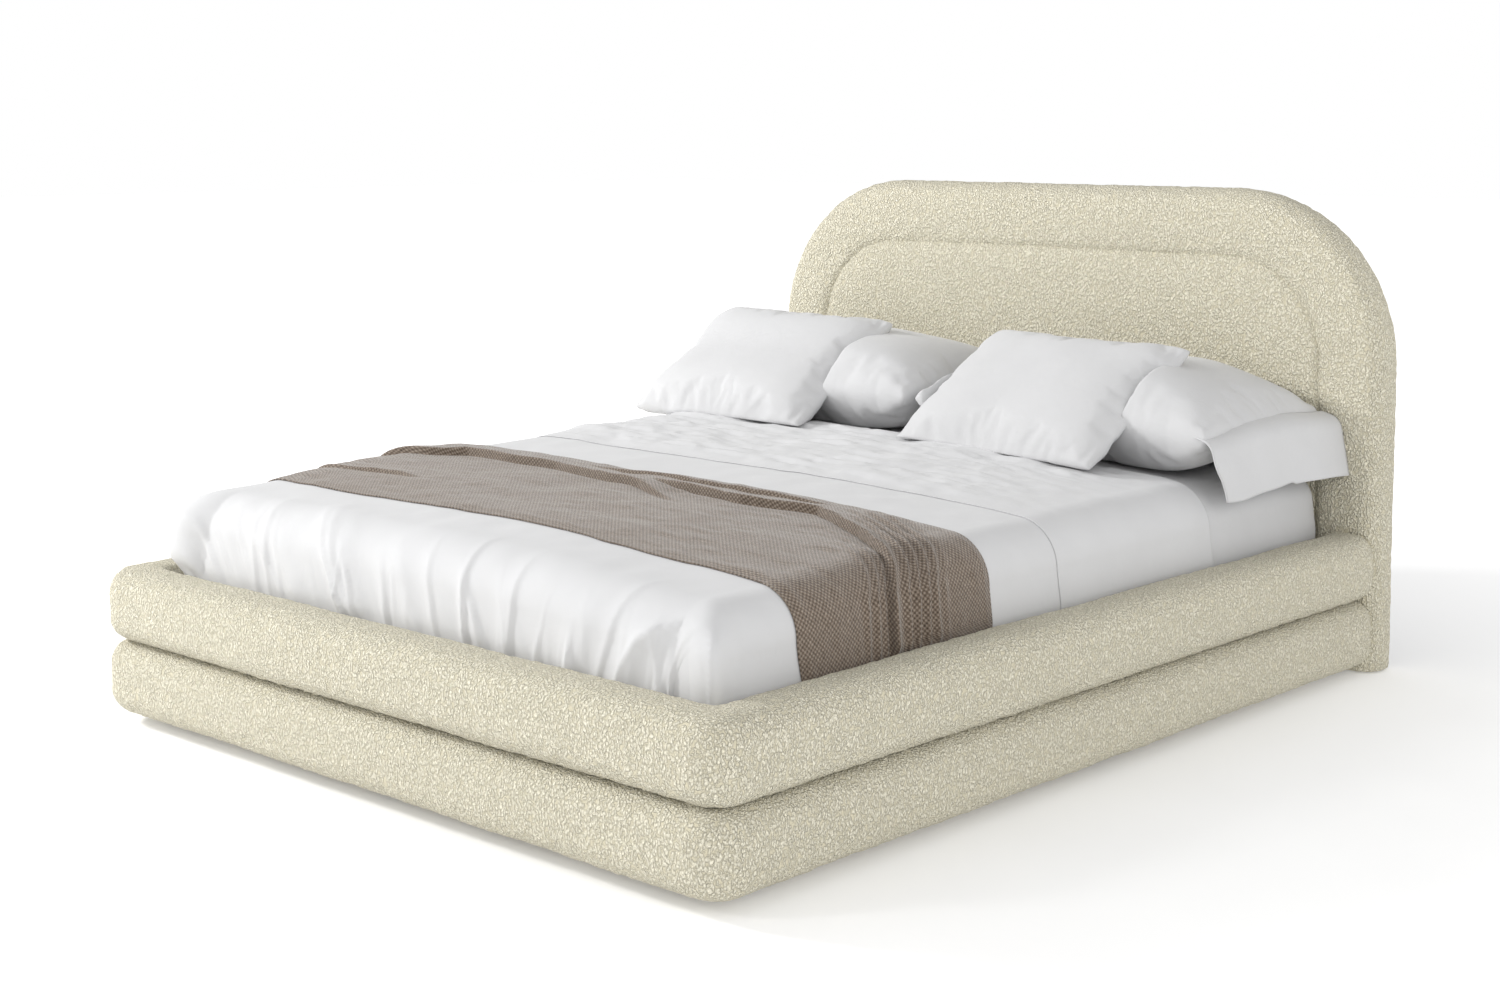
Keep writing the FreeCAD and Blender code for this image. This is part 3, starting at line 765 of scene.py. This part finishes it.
def make_mattress():
    """The mattress under the sheets, crowned and rounded off like the bedding on it."""
    obj = even_copy("mattress_quilted", ["mattress"], MATTRESS_VOXEL)
    co = coordinates(obj.data)
    no = normals(obj.data)
    u, v = co[:, 0], co[:, 1]
    crown = CROWN * (np.clip(np.abs(u), 0, HALF_MATTRESS - EDGE_R) / HALF_MATTRESS) ** CROWN_POWER
    upper = smoothstep(co[:, 2], *SINK_HEIGHTS)
    past_u = np.maximum(np.abs(u) - (HALF_MATTRESS - EDGE_R), 0)
    past_v = np.maximum(np.abs(v - (HEAD_Y + FOOT_Y) / 2) - ((HEAD_Y - FOOT_Y) / 2 - EDGE_R), 0)
    rim = np.clip(np.hypot(past_u, past_v) / EDGE_R, 0, 1)
    co[:, 2] -= upper * (crown + MATTRESS_SINK + RIM_SINK * rim ** 2)
    set_coordinates(obj.data, co - no * MATTRESS_SHRINK * upper[:, None])
    finished(obj, TICKING, "ticking", "mattress", "mattress")


# ---- throw

THROW_THICKNESS = 0.0026
THROW_CLEARANCE = 0.0012  # between the cover and the throw's underside
THROW_STEP = (0.0070, 0.0026)  # mesh steps across the bed and along it
THROW_REST = 0.0030  # how loosely it lies between its folds
THROW_WAVES = ((0.0030, (0.13, 0.06), 45), (0.0012, (0.04, 0.02), 46))
NEAR_EDGE_WAVES = ((0.007, (0.21, 1), 42), (0.003, (0.06, 1), 43))
FAR_EDGE_WAVES = ((0.008, (0.25, 1), 44),)
FAR_EDGE_LEFT = 0.02  # the far edge lies this much nearer the head on the left
LEFT_BAND = (0.1, 0.7)
MOST_RELIEF = 0.034
TUCKED_RELIEF = 0.004  # and below the rails' top
TUCK_HEIGHTS = (RAIL_TOP + 0.010, RAIL_TOP - 0.030)

# Folds: points (x across the bed, y along it) their hollow passes, height, and where they start and end in x
THROW_FOLDS = (
    (((-1.0, -0.60), (-0.78, -0.49), (-0.59, -0.385), (-0.29, -0.385), (0.02, -0.445), (0.20, -0.51)),
     0.0125, (-1.1, 0.20)),
    (((-0.10, -0.395), (0.28, -0.415), (0.44, -0.37), (0.60, -0.435), (0.79, -0.56), (1.0, -0.57)),
     0.0130, (-0.02, 1.2)),
    (((-1.0, -0.700), (-0.70, -0.660), (-0.40, -0.640)), 0.0065, (-1.1, -0.40)),
    (((-0.30, -0.325), (0.10, -0.345), (0.50, -0.315)), 0.0060, (-0.28, 0.48)),
)
FOLD_WAVER = ((0.005, (0.11, 1), 41),)
FOLD_TAPER = 0.16  # length over which a fold rises from its ends
FOLD_RISE = 0.012
FOLD_BACK = (0.014, 0.030)  # where its back starts, from its hollow, and how soon it falls
HOLLOW = (0.85, 0.007)  # depth, as a share of the fold's height, and half width
LEAN = (0.85, 0.013, 0.009)  # how far it leans, as a share of its height, and where
FAR_FULLNESS = 0.006  # the far half of the throw lies in a loose roll
FAR_START = (-0.015, 0.035)
FAR_END = (0.86, 1.0)  # shares of the throw's width between which it ends
FAR_CALM = (0.35, 0.72)  # places across the bed between which it flattens, by this share
FAR_CALM_SHARE = 0.75
FOLD_CHANGE = (-0.05, 0.22)  # where it passes from behind the first fold to behind the second
NEAR_HEM = (0.0, 0.05)  # shares of the throw's width over which its edges lie flat
FAR_HEM = (0.96, 1.0)

# Ripples gathered on the right, beyond the second fold, 1, and before it, -1: side, height, pitch,
# distances between which they die out, and places across the bed between which they grow
THROW_RIPPLES = ((1, 0.0105, 0.031, (0.10, 0.19), (0.42, 0.72)),
                 (-1, 0.0075, 0.027, (0.04, 0.10), (0.50, 0.78)))
RIPPLE_START = 0.010
RIPPLE_EASE = 0.02
RIPPLE_POWER = 1.5  # above 1, hollows are wider than crests


def fold_line(u, path):
    """Where a fold's hollow runs along the bed, for each place across it."""
    xs, ys = zip(*path)
    return np.interp(u, xs, ys) + layered(u, u * 0, FOLD_WAVER)


def lying_fold(u, v, path, height, span):
    """A fold that lies towards the near edge. Gives how high it stands and how far it leans."""
    side = v - fold_line(u, path)
    start, end = span
    ends = smoothstep(u, start, start + FOLD_TAPER) * (1 - smoothstep(u, end - FOLD_TAPER, end))
    rise = smoothstep(side, 0.0, FOLD_RISE)
    fade = np.exp(-np.maximum(side - FOLD_BACK[0], 0) / FOLD_BACK[1])
    hollow = HOLLOW[0] * np.exp(-(side / HOLLOW[1]) ** 2)
    lean = -LEAN[0] * height * np.exp(-((side - LEAN[1]) / LEAN[2]) ** 2)
    return height * (rise * fade - hollow) * ends, lean * ends


def gathered(u, past):
    """Ripples on both sides of the second fold, where the throw goes down on the right."""
    total = np.zeros(u.shape)
    for side, height, pitch, fade, growth in THROW_RIPPLES:
        away = side * past
        wave = (0.5 + 0.5 * np.cos(2 * math.pi * (away - RIPPLE_START) / pitch)) ** RIPPLE_POWER
        window = smoothstep(away, 0.0, RIPPLE_EASE) * (1 - smoothstep(away, *fade)) * smoothstep(u, *growth)
        total = total + height * wave * window
    return total


def throw_relief(u, v, t):
    """How far the throw stands off the cover, and how far its folds lean towards the foot."""
    first = fold_line(u, THROW_FOLDS[0][0])
    second = fold_line(u, THROW_FOLDS[1][0])
    change = smoothstep(u, *FOLD_CHANGE)
    ridge = first * (1 - change) + second * change
    beyond = smoothstep(v, ridge + FAR_START[0], ridge + FAR_START[1]) * (1 - smoothstep(t, *FAR_END))
    relief = FAR_FULLNESS * beyond * (1 - FAR_CALM_SHARE * smoothstep(u, *FAR_CALM))
    lean = np.zeros(u.shape)
    for fold in THROW_FOLDS:
        height, shift = lying_fold(u, v, *fold)
        relief = relief + height
        lean = lean + shift
    relief = relief + gathered(u, v - second) + THROW_REST + layered(u, v, THROW_WAVES)
    at_edges = smoothstep(t, *NEAR_HEM) * (1 - smoothstep(t, *FAR_HEM))
    return np.maximum(relief, 0.0) * at_edges, lean * at_edges


def make_throw():
    """Woven throw across the bed, tucked in on both sides, with long folds."""
    half = HALF_MATTRESS - EDGE_R + TUCKED_SKIRT
    ts = np.linspace(0, 1, int((THROW_HIGH.y - THROW_LOW.y) / THROW_STEP[1]))
    u, t = np.meshgrid(spaced(-half, half, THROW_STEP[0]), ts)
    near = THROW_LOW.y + layered(u, u * 0, NEAR_EDGE_WAVES)
    far = THROW_HIGH.y + layered(u, u * 0, FAR_EDGE_WAVES) + FAR_EDGE_LEFT * smoothstep(-u, *LEFT_BAND)
    v = near + (far - near) * t
    relief, lean = throw_relief(u, v, t)
    points, normal, _ = drape(u, v + lean, np.full(u.shape, LAYER_1))
    hidden = smoothstep(points[..., 2], *TUCK_HEIGHTS)
    push = np.minimum(relief, MOST_RELIEF) * (1 - hidden) + np.minimum(relief, TUCKED_RELIEF) * hidden
    push = push + cover_waves(u, v) + THROW_THICKNESS + THROW_CLEARANCE
    points = points + normal * push[..., None]
    along = np.linalg.norm(np.diff(points, axis=0, prepend=points[:1]), axis=-1).cumsum(axis=0)
    obj = grid_mesh("woven_throw", points, np.stack([u, near + along], -1))
    trim_below(obj, THROW_LOW.z)
    thicken(obj, THROW_THICKNESS)
    finished(obj, THROW_CLOTH, "taupe_weave", "mattress", "throw")


# ---- pillows

PLUMP = 3.7  # how full a pillow is towards its rim: 2 is a lens
RIM_POWER = 0.66  # how steeply it rises from its seam
LUMP_HEIGHT = 0.10  # unevenness of its filling, as a share of its thickness
LUMP_SIZE = (0.55, 0.55)
BOW = (0.0024, 0.0030)  # how far its sides bow out, as shares of its width and depth
START_FULLNESS = 0.96  # share of its thickness before it is blown up
BLOW_FRAMES = 16
BLOW_CAP = 0.008  # how far its cloth may move
BLOW_CLOTH = {
    "quality": 5, "mass": 0.25, "tension_stiffness": 25, "compression_stiffness": 25, "shear_stiffness": 8,
    "bending_stiffness": 0.35, "shrink_min": -0.030, "vertex_group_mass": "seam", "use_pressure": True,
    "uniform_pressure_force": 2.4, "air_damping": 4.0}


def sewn_case(name, width, depth, thickness, step, seed):
    """Two panels sewn together at a straight rim, already domed by their filling."""
    nx, ny = int(width / step), int(depth / step)
    gx, gy = np.meshgrid(np.linspace(-1, 1, nx + 1), np.linspace(-1, 1, ny + 1))
    from_x, from_y = 1 - np.abs(gx) ** PLUMP, 1 - np.abs(gy) ** PLUMP
    room = from_x * from_y / np.maximum(from_x + from_y - from_x * from_y, TINY)
    lumps = 1 + LUMP_HEIGHT * cloth_noise(gx, gy, LUMP_SIZE, seed)
    z = thickness / 2 * np.maximum(room, 0) ** RIM_POWER * lumps
    x = width / 2 * gx * (1 + BOW[0] * (1 - gy ** 2))
    y = depth / 2 * gy * (1 + BOW[1] * (1 - gx ** 2))
    upper = np.arange(gx.size).reshape(gx.shape)
    inside = room.ravel() > TINY
    lower = upper.copy()
    lower.ravel()[inside] = gx.size + np.arange(inside.sum())
    top = np.stack([x, y, z], -1).reshape(-1, 3)
    bottom = np.stack([x, y, -z], -1).reshape(-1, 3)[inside]
    faces = np.concatenate([grid_quads(upper), grid_quads(lower)[:, ::-1]])
    mesh = bpy.data.meshes.new(name)
    mesh.from_pydata(np.concatenate([top, bottom]).tolist(), [], faces.tolist())
    obj = link(name, mesh)
    seam = obj.vertex_groups.new(name="seam")
    seam.add(np.flatnonzero(~inside).tolist(), 1.0, "REPLACE")
    return obj


def blown_up(obj):
    """Fill a sewn case by cloth simulation with gravity off."""
    before = coordinates(obj.data)
    cloth = obj.modifiers.new("cloth", "CLOTH")
    for setting, value in BLOW_CLOTH.items():
        setattr(cloth.settings, setting, value)
    cloth.settings.effector_weights.gravity = 0.0
    cloth.point_cache.frame_start = 1
    cloth.point_cache.frame_end = BLOW_FRAMES
    scene = bpy.context.scene
    for step in range(1, BLOW_FRAMES + 1):
        scene.frame_set(step)
    applied(obj)
    scene.frame_set(1)
    moved = coordinates(obj.data) - before
    far = np.linalg.norm(moved, axis=1)
    moved *= np.minimum(1, BLOW_CAP / np.maximum(far, TINY))[:, None]
    set_coordinates(obj.data, before + moved)


def stuffed(name, width, depth, thickness, step, seed):
    """A filled case centred on the origin, thickness metres thick at its middle."""
    obj = sewn_case(name, width, depth, thickness * START_FULLNESS, step, seed)
    blown_up(obj)
    fine = obj.modifiers.new("fine", "SUBSURF")
    fine.levels = 1
    fine.render_levels = 1
    return applied(obj)


def rotation(axis, degrees):
    a = math.radians(degrees)
    c, s = math.cos(a), math.sin(a)
    if axis == "X":
        return np.array([[1, 0, 0], [0, c, -s], [0, s, c]])
    return np.array([[c, -s, 0], [s, c, 0], [0, 0, 1]])


SIZES = {"front": (0.582, 0.432, 0.136), "back": (0.800, 0.505, 0.232)}
STEPS = {"front": 0.0085, "back": 0.0115}
TILT = 33.0  # degrees that the front pillows lean back, and that each is turned
YAW = {"left": -1.5, "right": -5.0}
PRESS = -0.022  # the two pillows meet this far below the middle of the front one
COVER_RELIEF = 0.008  # how far crumples and waves stand up under the pillows
SHEET_RELIEF = 0.003
LYING_GAP = 0.0015  # between a pillow and the bedding
LYING_BLEND = 0.012  # how softly a pressed form rounds off
FLAT_BED = 0.76  # half width over which the bedding carries a pillow
SIDE_START = HALF_MATTRESS - 0.02  # from here a pillow hangs over the side
SIDE_STEEPNESS = 2.5
DENT_MARGIN = 0.045  # the dent in a back pillow, in from the front one's rim
DENT_DEPTH = 0.004
DENT_STEEPNESS = 3.5 / 0.3  # how the limit rises round the dent
DENT_POWER = 0.75
DENT_BLEND = 0.010
LEAN_FROM_TO = (-0.16, -0.06)  # along a front pillow, where it comes to lie on the back one
FRONT_BULGE = 0.035  # before that it bulges this much lower
HEADBOARD_GAP = 0.004

# How far each filled pillow has sunk from the middle of its CAD solid
SETTLED = {
    "back_left": (0.0, -0.006, -0.0045), "back_right": (0.0, -0.006, -0.0045),
    "front_left": (0.0, 0.0, -0.016), "front_right": (-0.007, 0.0, -0.021),
}


def pillow_middle(row, side):
    """Middle of a filled pillow, from the box of its CAD solid."""
    key = "%s_%s" % (row, side)
    low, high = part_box("pillow_" + key)
    return (np.array(low) + np.array(high)) / 2 + np.array(SETTLED[key])


def bed_height(x, y):
    """Height of the bedding's top, with the cover's upper layer where there is one."""
    lift = np.where(y < FOLD_EDGE, LAYER_2 + COVER_RELIEF, SHEET_RELIEF)
    points, _, _ = drape(x, y, lift)
    return points[..., 2]


def soft_floor(z, low, blend):
    """The higher of z and low, rounded off where they meet."""
    d = np.clip((z - low) / blend, -1, 1)
    return np.where(z > low + blend, z, low + blend * (d + 1) ** 2 / 4)


def lay_on_bed(co):
    """Flatten the underside of a pillow on the bedding."""
    low = bed_height(np.clip(co[:, 0], -FLAT_BED, FLAT_BED), co[:, 1]) + LYING_GAP
    past_side = np.maximum(np.abs(co[:, 0]) - SIDE_START, 0)
    co[:, 2] = soft_floor(co[:, 2], low - SIDE_STEEPNESS * past_side, LYING_BLEND)
    return co


def front_frame(side):
    """How a front pillow is turned, and where its middle is."""
    turn = rotation("Z", YAW[side]) @ rotation("X", TILT)
    return turn, pillow_middle("front", side)


def press_back(co, side):
    """Flatten the back pillow where the front one leans on it."""
    turn, origin = front_frame(side)
    local = (co - origin) @ turn
    width, depth, _ = SIZES["front"]
    beside = np.maximum(np.abs(local[:, 0]) - (width / 2 - DENT_MARGIN), 0)
    beyond = np.maximum(np.abs(local[:, 1]) - (depth / 2 - DENT_MARGIN), 0)
    limit = PRESS - DENT_DEPTH + DENT_STEEPNESS * (beside ** 2 + beyond ** 2) ** DENT_POWER
    local[:, 2] = -soft_floor(-local[:, 2], -limit, DENT_BLEND)
    return local @ turn.T + origin


def press_front(co, side):
    """Flatten the underside of the front pillow where it lies on the back one."""
    turn, origin = front_frame(side)
    local = (co - origin) @ turn
    limit = PRESS - FRONT_BULGE * (1 - smoothstep(local[:, 1], *LEAN_FROM_TO))
    local[:, 2] = soft_floor(local[:, 2], limit, LYING_BLEND)
    return local @ turn.T + origin


# The open end of the back right case, from its foot corner, q = 0, to its head corner, q = 1
RIM_Z = pillow_middle("back", "right")[2]
HEM_START_X = HALF_MATTRESS - 0.027
HEM_SKEW = 0.030  # its head corner reaches this much further out
HEM_FOOT_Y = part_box("pillowcase_back_right")[0].y - 0.006
HEM_LENGTH = 0.498
HEM_RISE = 0.006  # its upper edge starts this far above the pillow's rim
HEM_OUT = 0.040  # cloth going out over the edge, and then down
HEM_FALL = 0.138
HEM_ANGLES = (16.0, 81.0)  # degrees below level at its start and end
HEM_TURN = (HEM_OUT - 0.020, HEM_OUT + 0.040)
HEM_GRID = (66, 30)  # points along the hem and out from the pillow
HEM_THICKNESS = 0.0035
CORNER_DROOP = 0.014  # sag of both its corners, away from its middle
DROOP_BAND = (0.10, 0.5)
FOOT_DROOP = 0.012  # and more at its foot corner
DROOP_REGAINED = 0.6  # share of the sag that is gone at the hem
DROOP_FROM = 0.45  # across the bed, where the pillow begins to sag with it
TAPER_DEPTH = 0.50
TAPER_SHARE = 0.18  # how much the pillow's upper side flattens towards its end
TAPER_FROM_TO = (0.50, 0.74)
LENGTH_WAVES = ((0.006, 5.2, 0.5),)  # height, radians and start of waves along the hem
LENGTH_STEP = (0.006, 0.56, 0.58)  # the hem's two layers end at different lengths
HEM_WAVES = ((0.006, 8.0, 1.0), (0.003, 19.0, 0.0))
HEM_WAVES_GROWTH = (0.3, 1.0)  # shares of the way out between which they grow
CORNER_PULL = 0.012  # the foot corner is drawn out, and swings in again
CORNER_PULL_RATE = 1.4
CORNER_SWING = 0.012
SWING_GROWTH = (0.5, 1.0)


def end_droop(q):
    """How far the open end sags at each place along it."""
    return CORNER_DROOP * smoothstep(np.abs(q - 0.5), *DROOP_BAND) + FOOT_DROOP * (1 - q)


def taper_to_hem(co):
    """Draw the right end of the back right pillow down to its open hem."""
    q = np.clip((co[:, 1] - HEM_FOOT_Y) / TAPER_DEPTH, 0, 1)
    co[:, 2] -= smoothstep(co[:, 0], DROOP_FROM, HALF_MATTRESS) * end_droop(q)
    co[:, 2] -= TAPER_SHARE * np.maximum(co[:, 2] - RIM_Z, 0) * smoothstep(co[:, 0], *TAPER_FROM_TO)
    return co


def waves(q, layers):
    """Sum of sine waves, each given as its height, its radians from 0 to 1 and its start."""
    return sum(height * np.sin(radians * q + start) for height, radians, start in layers)


def open_hem_points():
    """Empty end of the back right case: out over the edge, then down in a loose fall."""
    q, p = np.meshgrid(np.linspace(0, 1, HEM_GRID[0]), np.linspace(0, 1, HEM_GRID[1]))
    fall = HEM_FALL + waves(q, LENGTH_WAVES) + LENGTH_STEP[0] * smoothstep(q, *LENGTH_STEP[1:])
    s = p * (HEM_OUT + fall)
    start, end = np.radians(HEM_ANGLES)
    angle = start + (end - start) * smoothstep(s, *HEM_TURN)
    step = np.diff(s, axis=0, prepend=0)
    x = HEM_START_X + HEM_SKEW * q + np.cumsum(step * np.cos(angle), axis=0)
    x = x + waves(q, HEM_WAVES) * smoothstep(p, *HEM_WAVES_GROWTH)
    pull = CORNER_PULL * np.sin(math.pi * np.clip(p * CORNER_PULL_RATE, 0, 1)) * (1 - q) ** 3
    swing = CORNER_SWING * smoothstep(p, *SWING_GROWTH) * (1 - q)
    y = HEM_FOOT_Y + HEM_LENGTH * q - pull + swing
    sag = end_droop(q) * (1 - DROOP_REGAINED * p)
    z = RIM_Z + HEM_RISE - sag - np.cumsum(step * np.sin(angle), axis=0)
    return np.stack([x, y, z], -1), np.stack([s, y], -1)


def add_open_hem(case):
    """Join the empty end to its case."""
    hem = grid_mesh("open_hem", *open_hem_points())
    thicken(hem, HEM_THICKNESS)
    applied(hem)
    join([case.data, hem.data], case.data)
    bpy.data.objects.remove(hem)


CASE_ROOM = 0.004  # between a case and its filling


def make_filling(case, node, body):
    """The filling inside a case: the same form, a little smaller."""
    filling = link(node + "_filling", case.data.copy())
    mesh = filling.data
    set_coordinates(mesh, coordinates(mesh) - normals(mesh) * CASE_ROOM)
    finished(filling, FILLING, "pillow_filling", body, node)


def make_pillow(row, side, seed):
    """A pillow in its case, pressed against what it lies on."""
    name = "pillowcase_%s_%s" % (row, side)
    body = "%s_%s_pillow" % (row, side)
    obj = stuffed(name + "_cotton", *SIZES[row], STEPS[row], seed)
    co = coordinates(obj.data)
    if row == "back":
        co = co + pillow_middle("back", side)
        if side == "right":
            co = taper_to_hem(co)
        co = press_back(co, side)
        at_headboard = CENTER_LOW.y - CENTER_CROWN - HEADBOARD_GAP
        co[:, 1] = -soft_floor(-co[:, 1], -at_headboard, LYING_BLEND)
    else:
        turn, origin = front_frame(side)
        co = press_front(co @ turn.T + origin, side)
    set_coordinates(obj.data, lay_on_bed(co))
    make_filling(obj, "pillow_%s_%s" % (row, side), body)
    if (row, side) == ("back", "right"):
        add_open_hem(obj)
    finished(obj, CASE_COTTON, "white_cotton", body, name)


# ---- studio

FLOOR_HALF = 30.0
WHITE = (1.0, 1.0, 1.0, 1.0)
SKY_STRENGTH = {"From Min": 0.20, "From Max": 0.45, "To Min": 1.0, "To Max": 0.68}

# Lights: name, place, diameter and power, all turned to one point
AIM = (0, 0, 0.4)
LIGHTS = (("key_left", (-5.5, -3.0, 3.2), 1.1, 318), ("front_left", (-2.6, -6.0, 3.4), 1.1, 72),
          ("fill_right", (5.5, -1.8, 2.6), 3.0, 72))

CAMERA_PLACE = (3.223, -3.588, 1.2675)
CAMERA_DOWN = 5.171  # degrees below level, and to the left of straight towards the headboard
CAMERA_LEFT = 43.055
LENS = 53.05  # on a sensor 36 mm wide
CAMERA_SHIFT = (0.0118, -0.12)


def make_floor():
    """A pale floor that glows with painted light, brighter away from the bed."""
    corners = [(x * FLOOR_HALF, y * FLOOR_HALF, 0) for x, y in ((-1, -1), (1, -1), (1, 1), (-1, 1))]
    mesh = bpy.data.meshes.new("studio_floor")
    mesh.from_pydata(corners, [], [(0, 1, 2, 3)])
    floor = link("studio_floor", mesh)
    s = Shader("pale_glowing_floor", 0.9)
    s.color(s.noise(3.0, 2.0), [(0.3, (0.87, 0.87, 0.87)), (0.7, (0.89, 0.89, 0.89))])
    # Painted light: the floor itself glows, faintly near the bed and more strongly away from it.
    away = s.node("ShaderNodeVectorMath", {"operation": "LENGTH"}, Vector=s.place)
    glow = s.node("ShaderNodeMapRange", Value=away.outputs["Value"], From_Min=0.5, From_Max=5.0,
                  To_Min=0.12, To_Max=0.55)
    s.bsdf.inputs["Emission Color"].default_value = WHITE
    s.feed(s.bsdf.inputs["Emission Strength"], glow.outputs[0])
    mesh.materials.append(s.material)


def make_sky():
    """White all round, brightest near the horizon and below."""
    world = bpy.data.worlds.new("studio")
    world.use_nodes = True
    tree = world.node_tree
    split = tree.nodes.new("ShaderNodeSeparateXYZ")
    tree.links.new(tree.nodes.new("ShaderNodeTexCoord").outputs["Generated"], split.inputs[0])
    strength = tree.nodes.new("ShaderNodeMapRange")
    tree.links.new(split.outputs[2], strength.inputs["Value"])
    strength.interpolation_type = "SMOOTHSTEP"
    for socket, value in SKY_STRENGTH.items():
        strength.inputs[socket].default_value = value
    tree.links.new(strength.outputs[0], tree.nodes["Background"].inputs["Strength"])
    tree.nodes["Background"].inputs["Color"].default_value = WHITE
    bpy.context.scene.world = world


def make_light(name, place, diameter, power):
    lamp = bpy.data.lights.new(name, "AREA")
    lamp.shape = "DISK"
    lamp.size = diameter
    lamp.energy = power
    obj = link(name, lamp)
    obj.location = place
    obj.rotation_euler = (Vector(AIM) - Vector(place)).to_track_quat("-Z", "Y").to_euler()


def make_camera():
    data = bpy.data.cameras.new("camera")
    data.lens = LENS
    data.sensor_width = 36.0
    data.shift_x, data.shift_y = CAMERA_SHIFT
    data.clip_end = 100.0
    camera = link("camera", data)
    camera.location = CAMERA_PLACE
    camera.rotation_euler = (math.radians(90 - CAMERA_DOWN), 0.0, math.radians(CAMERA_LEFT))
    bpy.context.scene.camera = camera


dress_kept_nodes()
make_tier("upper_tier", "upper", 61)
make_tier("lower_tier", "lower", 71)
make_headboard_pad("headboard_center_pad", 81, center_crown)
make_headboard_pad("headboard_border_pad", 91, border_crown)
make_mattress()
make_fitted_sheet()
make_top_cover()
make_throw()
PILLOWS = (("back", "left"), ("back", "right"), ("front", "left"), ("front", "right"))
for number, (row, side) in enumerate(PILLOWS):
    make_pillow(row, side, 101 + number)
make_floor()
make_sky()
for light in LIGHTS:
    make_light(*light)
make_camera()
bpy.context.scene.view_settings.view_transform = "Standard"
